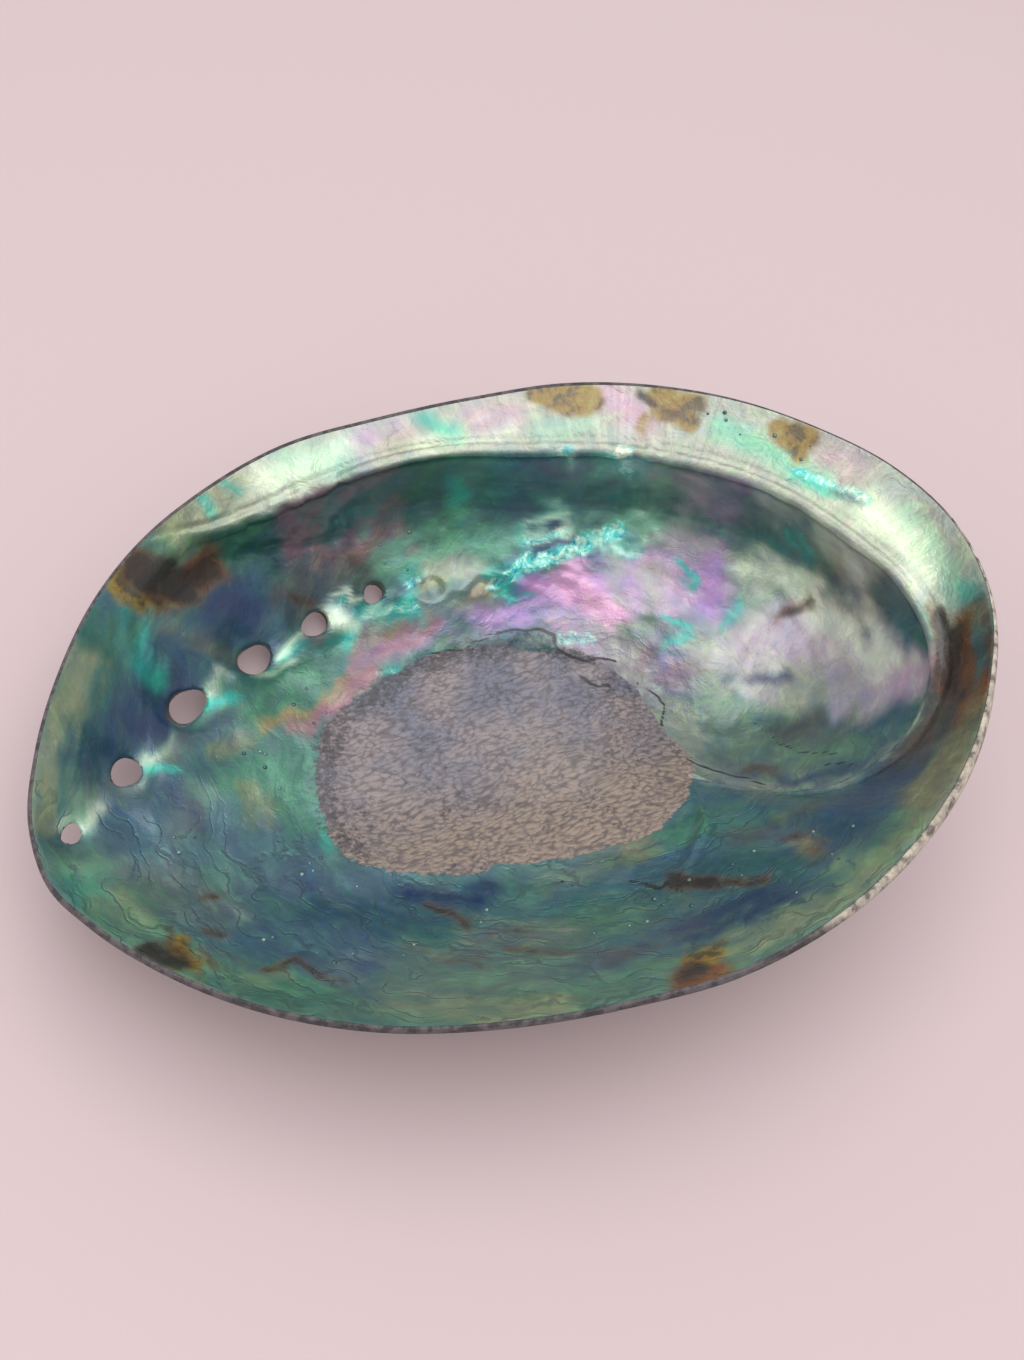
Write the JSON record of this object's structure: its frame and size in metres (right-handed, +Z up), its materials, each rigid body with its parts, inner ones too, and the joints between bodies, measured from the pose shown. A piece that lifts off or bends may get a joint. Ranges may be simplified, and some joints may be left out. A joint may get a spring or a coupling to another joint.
{
  "type": "abalone shell",
  "caption": "Ear-shaped bowl of shell, open upwards, with a spire hollow under an inner ledge and a row of pores; holds small things or stands for display.",
  "frame": {"origin": "centre of the bounding box at the surface the shell rests on", "axes": "+X along the length towards the spire end, +Y towards the ledge and pore side, +Z up out of the bowl"},
  "size_m": [0.1802, 0.1342, 0.0531],
  "materials": {
    "shell": "iridescent green and blue nacre inside with a rough tan muscle scar, and a dull brown crust outside"
  },
  "bodies": {
    "root": {"abalone_shell": "shell"}
  },
  "joints": []
}
